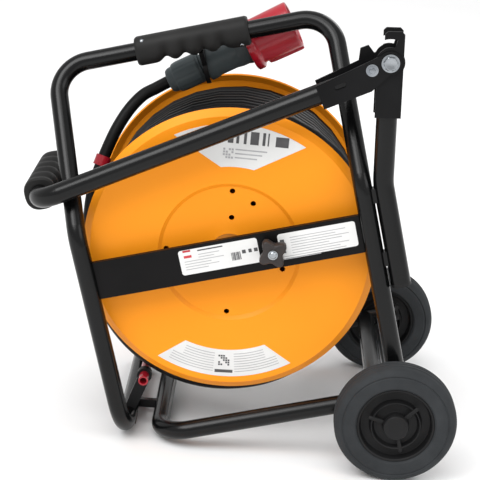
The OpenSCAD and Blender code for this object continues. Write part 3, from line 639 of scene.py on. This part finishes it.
def make_cap(node, middle):
    """Push-on cap with a rolled edge and a shallow dish."""
    low, high = own_box(node)
    radius = (high.z - low.z) / 2
    outward = 1 if low.y > middle.y else -1
    near, far = (low.y, high.y) if outward > 0 else (high.y, low.y)
    depth = abs(far - near)
    outline = [
        (0, near), (radius, near), (radius + 0.4, near + outward * depth * 0.45),
        (radius - 0.8, far - outward * 0.5), (radius - 2, far), (radius - 4, far - outward * 0.6),
        (0, far - outward * 0.6),
    ]
    line = [tuple(outline[0])] + [tuple(p) for p in rounded(outline, 0.8, 3)[4:-4]] + [tuple(outline[-1])]
    stand_in(node + "_turned", spun(node, middle.x, middle.z, line, 64), node)


# ---------- brake knob ----------


KNOB_REACH = 16.8
KNOB_WAIST = 10.6
KNOB_TURN = math.radians(24)
KNOB_HUB = 6.4


def make_knob():
    low, high = own_box("brake_knob")
    middle = (low + high) / 2
    rings = []
    grip_back = low.y + 13
    for y, inset in (
        (high.y, -7.5), (grip_back + 0.2, -7.2), (grip_back, -1.6), (grip_back - 1.2, -0.4),
        (grip_back - 3, 0), (low.y + 3, 0), (low.y + 1.2, -0.6), (low.y + 0.3, -1.8), (low.y, -3.4),
        (low.y + 0.5, -6.5), (low.y + 0.7, -8),
    ):
        ring = []
        for k in range(96):
            angle = 2 * math.pi * k / 96
            lobe = ((1 + math.cos(4 * (angle - KNOB_TURN))) / 2) ** 1.15
            radius = KNOB_WAIST + (KNOB_REACH - KNOB_WAIST) * lobe
            radius = KNOB_HUB if y > grip_back else max(4.2, radius + inset * (0.55 + 0.45 * (1 - lobe)))
            ring.append((middle.x + radius * math.cos(angle), y, middle.z + radius * math.sin(angle)))
        rings.append(ring)
    stand_in("star_knob", loft("star_knob", rings, "caps", 50), "brake_knob")


# ---------- bolts ----------

BOLT_STEPS = 72
FLATS_TURN = 0.3


def hexagon(radius, cut):
    """Radius of a hexagon at an angle, trimmed to a circle where its corners are chamfered."""
    def at(angle):
        turn = angle % (math.pi / 3) - math.pi / 6
        return min(cut, radius * math.cos(math.pi / 6) / math.cos(turn))
    return at


def turned_part(node, stations):
    """A closed piece round the node's own y line: (y, radius or hexagon) from one end to the other."""
    low, high = own_box(node)
    middle = (low + high) / 2
    rings = []
    for y, radius in stations:
        ring = []
        for k in range(BOLT_STEPS):
            angle = 2 * math.pi * k / BOLT_STEPS
            r = radius(angle + FLATS_TURN) if callable(radius) else radius
            ring.append((middle.x + r * math.cos(angle), y, middle.z + r * math.sin(angle)))
        rings.append(ring)
    stand_in(node + "_turned", loft(node, rings, "caps", 30), node)


def shaft_radius(node, y):
    low, high = own_box(node)
    middle = (low + high) / 2
    spots = [own_of(vertex.co) for vertex in NODES[node].data.vertices]
    return max(math.hypot(p.x - middle.x, p.z - middle.z) for p in spots if abs(p.y - y) < 0.1)


def make_bolts():
    low, high = own_box("pivot_bolt")
    shaft = shaft_radius("pivot_bolt", high.y)
    turned_part("pivot_bolt", [
        (low.y + 0.5, 3.4), (low.y, 4.6), (low.y, 6.6), (low.y + 0.9, hexagon(7.9, 7.5)),
        (low.y + 3.6, hexagon(7.9, 7.5)), (low.y + 3.7, 9.4), (low.y + 4.9, 9.4), (low.y + 5, shaft),
        (high.y - 0.8, shaft), (high.y, shaft - 0.8),
    ])
    low, high = own_box("latch_pin")
    shaft = 3.8
    turned_part("latch_pin", [
        (low.y, 2), (low.y + 0.3, 2.9), (low.y + 0.9, 3.2), (low.y + 1, hexagon(5.4, 5)),
        (low.y + 1.9, hexagon(5.4, 5)), (low.y + 2, 6.4), (low.y + 2.9, 6.4), (low.y + 3, shaft),
        (high.y - 3, shaft), (high.y - 2.9, 6.4), (high.y - 2, 6.4), (high.y - 1.9, hexagon(5.4, 5)),
        (high.y - 0.4, hexagon(5.4, 5)), (high.y, 4),
    ])
    low, high = own_box("brake_screw")
    shaft = shaft_radius("brake_screw", high.y)
    turned_part("brake_screw", [
        (low.y + 1.3, 1.3), (low.y + 1.2, 1.9), (low.y + 1.3, 2.9), (low.y + 2, 3.7), (low.y + 2.9, 4),
        (low.y + 3.1, 5.2), (low.y + 3.9, 5.2), (low.y + 4, shaft), (high.y, shaft),
    ])


# ---------- printing on the labels ----------

DISC_PRINT_Y = -0.52
STRIP_PRINT_Y = -23.52
PRINT_T = 0.15


def fan_outline(middle, inner, outer, start, end):
    """Part of a ring: radii and the angles, in degrees, from the label's middle line."""
    steps = 10
    turns = [math.radians(middle + start + (end - start) * k / steps) for k in range(steps + 1)]
    arc = [(outer * math.cos(a), outer * math.sin(a)) for a in turns]
    return arc + [(inner * math.cos(a), inner * math.sin(a)) for a in reversed(turns)]


def tilted_block(middle, inner, outer, left, right):
    """A rectangle square to the label's middle line; left and right run clockwise."""
    a = math.radians(middle)
    out, over = (math.cos(a), math.sin(a)), (math.sin(a), -math.cos(a))
    corners = ((inner, left), (inner, right), (outer, right), (outer, left))
    return [(out[0] * r + over[0] * t, out[1] * r + over[1] * t) for r, t in corners]


def strip_block(left, right, low, high):
    return [(left, low), (right, low), (right, high), (left, high)]


def printed(name, outlines, y, look, node):
    sheets = [slab(outline, y, PRINT_T) for outline in outlines]
    add_piece(name, join_meshes(name, sheets), SLOT_OF[node], BODY_OF[node], look, smooth=False)


def print_disc_labels():
    top, low = 73.5, -104
    dark = [
        tilted_block(top, 123, 134, 38, 52),
        tilted_block(top, 122, 130, -38, -21),
    ]
    # broad strokes where the label has its large print
    for left, right in ((-13, -7), (-4, -1), (4, 7), (11, 20), (24, 27), (29.5, 31)):
        dark.append(tilted_block(top, 123, 137, left, right))
    pale = []
    for i, r in enumerate((117, 112.5, 108)):
        pale.append(tilted_block(top, r - 1.4, r, -4, 30 - 5 * i))
    for row in range(4):
        for column in range(4):
            if (row * 3 + column * 5) % 4 != 1:
                left, r = -17 + 3 * column, 117 - 3 * row
                pale.append(tilted_block(top, r - 2.2, r, left, left + 2.2))
    for r in range(118, 142, 3):
        reach = 21 if r < 128 else 26
        pale.append(fan_outline(low, r, r + 0.8, -reach, -5))
        pale.append(fan_outline(low, r, r + 0.8, 5, reach))
    for row in range(5):
        for column in range(5):
            if (row * 2 + column * 3) % 5 not in (1, 3):
                left, r = -6 + 2.6 * column, 132 - 2.6 * row
                dark.append(tilted_block(low, r - 2, r, left, left + 2))
    dark.append(tilted_block(low, 137, 140.5, -10, 10))
    printed("disc_print", dark, DISC_PRINT_Y, INK, "disc_labels")
    printed("disc_fine_print", pale, DISC_PRINT_Y, INK_PALE, "disc_labels")


def print_strip_labels():
    red = [strip_block(-47, -38.5, 16.4, 18.6), strip_block(-46.7, -38.3, 9.8, 12.6)]
    dark = [strip_block(-31, -3.5, 15.6, 17)]
    for k in range(8):
        dark.append(strip_block(4 + 1.3 * k, 4.7 + 1.3 * k + 0.2 * (k % 3), -2, 7))
    dark += [strip_block(16, 20, 4, 8), strip_block(23, 26.5, 4, 8), strip_block(29, 33, 4, 8)]
    pale = []
    for k, right in enumerate((-8, -14, -4, -18, -10, -22)):
        pale.append(strip_block(-31 if k < 2 else -47, right, 11.4 - 3 * k, 12.2 - 3 * k))
    for k, right in enumerate((129, 118, 132, 124, 110, 131, 121, 127, 99)):
        z = 12 - 2.9 * k
        pale.append(strip_block(69 if k < 7 else 58, right, z, z + 0.8))
    for row in range(3):
        dark.append(strip_block(58, 62.5, 8 - 6 * row, 11.5 - 6 * row))
    printed("strip_red_print", red, STRIP_PRINT_Y, INK_RED, "strip_labels")
    printed("strip_print", dark, STRIP_PRINT_Y, INK, "strip_labels")
    printed("strip_fine_print", pale, STRIP_PRINT_Y, INK_PALE, "strip_labels")


# ---------- plug ----------


def step_up(s, at, width=1.0):
    """Rises smoothly from 0 to 1 round s = at."""
    u = max(0, min(1, (s - at) / width + 0.5))
    return u * u * (3 - 2 * u)


def plug_ring(s, radius, count=96):
    """Points round the plug's axis at s from its tail; radius may depend on the angle."""
    foot = Vector(LEAD_ROUTE[0]) + PLUG_ALONG * s
    ring = []
    for k in range(count):
        angle = 2 * math.pi * k / count
        r = radius(angle) if callable(radius) else radius
        ring.append(foot + (PLUG_SIDE * math.cos(angle) + PLUG_UP * math.sin(angle)) * r)
    return ring


def handle_radius(s, angle):
    """Tail cone, fluted gland nut, groove, then a waisted handle with raised pads and a clamp band."""
    r = 11 + 3.2 * math.sqrt(min(1, s / 4))
    r += 1.8 * step_up(s, 10, 14)
    flute = max(0, math.cos(9 * angle)) ** 3
    in_nut = step_up(s, 9, 3) - step_up(s, 39, 3)
    r += in_nut * (1.6 - 0.45 * flute)
    r -= 2.2 * (step_up(s, 42, 1.4) - step_up(s, 45, 1.4))
    r += 3.4 * step_up(s, 46, 3)
    r -= 1.3 * (step_up(s, 56, 8) - step_up(s, 82, 10))
    pad = max(0, math.cos(2 * angle)) ** 4
    r += 0.9 * pad * (step_up(s, 54, 3) - step_up(s, 86, 3))
    ridge = 0.5 + 0.5 * math.cos(2 * math.pi * s / 4)
    r += 0.8 * ridge * max(0, math.sin(angle)) ** 6 * (step_up(s, 60, 3) - step_up(s, 80, 3))
    return r + 1.3 * step_up(s, 94, 5)


def make_plug():
    rings = [plug_ring(0, 7.2), plug_ring(0, 10.4)]
    rings += [plug_ring(s / 2, lambda angle, s=s: handle_radius(s / 2, angle)) for s in range(1, 198)]
    rings += [plug_ring(99, 20.6), plug_ring(99, 7.2)]
    handle = stand_in("plug_handle", loft("plug_handle", rings, "caps", 40), "plug_body")

    def scallop(radius):
        return lambda angle: radius - 1.1 * max(0, math.cos(10 * angle)) ** 4

    front = [
        (99.2, 8), (99.2, scallop(28.5)), (99.8, scallop(30.2)), (101, scallop(30.9)),
        (106.5, scallop(30.9)), (108, scallop(30.2)), (109, 28.6), (110, 26.6), (112, 25.9),
        (153, 27), (154.6, 26.9), (155.8, 26.2),
        (156, 25.2), (155.6, 24.4), (154, 24.1), (117, 23.9), (116.4, 23), (116.2, 12), (116.2, 1),
    ]
    shell = loft("shroud", [plug_ring(s, r) for s, r in front], "caps", 40)
    key = []
    for s, lift, half in (
        (113, 25.5, 4.6), (114.5, 28.4, 5), (120, 29.2, 5), (152, 29.6, 5.2), (155.4, 29.2, 4.8),
    ):
        foot = Vector(LEAD_ROUTE[0]) + PLUG_ALONG * s
        out = -PLUG_UP
        corners = [
            (22, -half), (lift - 0.8, -half), (lift, -half + 0.9),
            (lift, half - 0.9), (lift - 0.8, half), (22, half),
        ]
        key.append([foot + out * a + PLUG_SIDE * b for a, b in corners])
    tab = loft("key", key, "caps", 20)
    shroud = stand_in("plug_shroud", join_meshes("plug_shroud", [shell, tab]), "plug_front")
    return [handle, shroud, NODES["plug_pins"], NODES["lead_ring"]]


# ---------- stage ----------


FLOOR_HALF = 60
WORLD_LIGHT = 0.72
SUN_LIGHT = 1.5
SUN_SPREAD = math.radians(50)
SUN_WAY = (0.3, 0.55, -1)
LIGHTS = [
    ("key", (-1.3, -1.5, 1.9), 1.3, 22),
    ("fill", (1.7, -1.2, 1.2), 1.2, 9),
    ("rim", (1.0, 1.7, 1.3), 1.0, 10),
]


def make_stage():
    """A pale floor, an even sky, a wide soft sun and three soft lights: place, size and power."""
    bpy.context.scene.view_settings.view_transform = "Standard"
    low, high = CAD_BOX
    middle = (low + high) / 2
    mesh = bpy.data.meshes.new("floor")
    shape = bmesh.new()
    bmesh.ops.create_grid(shape, x_segments=2, y_segments=2, size=FLOOR_HALF)
    shape.to_mesh(mesh)
    shape.free()
    floor = bpy.data.objects.new("floor", mesh)
    bpy.context.scene.collection.objects.link(floor)
    look = Look("pale_floor", 0.6)
    look.colour(look.noise(2), (0.88, 0.88, 0.88), (0.9, 0.9, 0.9))
    mesh.materials.append(look.material)

    world = bpy.data.worlds.new("studio")
    bpy.context.scene.world = world
    world.use_nodes = True
    backdrop = world.node_tree.nodes["Background"]
    backdrop.inputs["Color"].default_value = (1, 1, 1, 1)
    backdrop.inputs["Strength"].default_value = WORLD_LIGHT
    sun = bpy.data.lights.new("sun", "SUN")
    sun.energy = SUN_LIGHT
    sun.angle = SUN_SPREAD
    overhead = bpy.data.objects.new("sun", sun)
    overhead.rotation_euler = Vector(SUN_WAY).to_track_quat("-Z", "Y").to_euler()
    bpy.context.scene.collection.objects.link(overhead)
    for name, place, size, power in LIGHTS:
        data = bpy.data.lights.new(name, "AREA")
        data.size = size
        data.energy = power
        light = bpy.data.objects.new(name, data)
        light.location = middle + Vector(place)
        light.rotation_euler = (middle - light.location).to_track_quat("-Z", "Y").to_euler()
        bpy.context.scene.collection.objects.link(light)


make_camera()
make_cords()
dress_nodes()
make_top_grip()
make_pull_grip()
for place in ("front", "rear"):
    make_tyre(place + "_tyre")
    make_rim(place + "_rim", place + "_cap")
make_knob()
make_bolts()
print_disc_labels()
print_strip_labels()
make_stage()
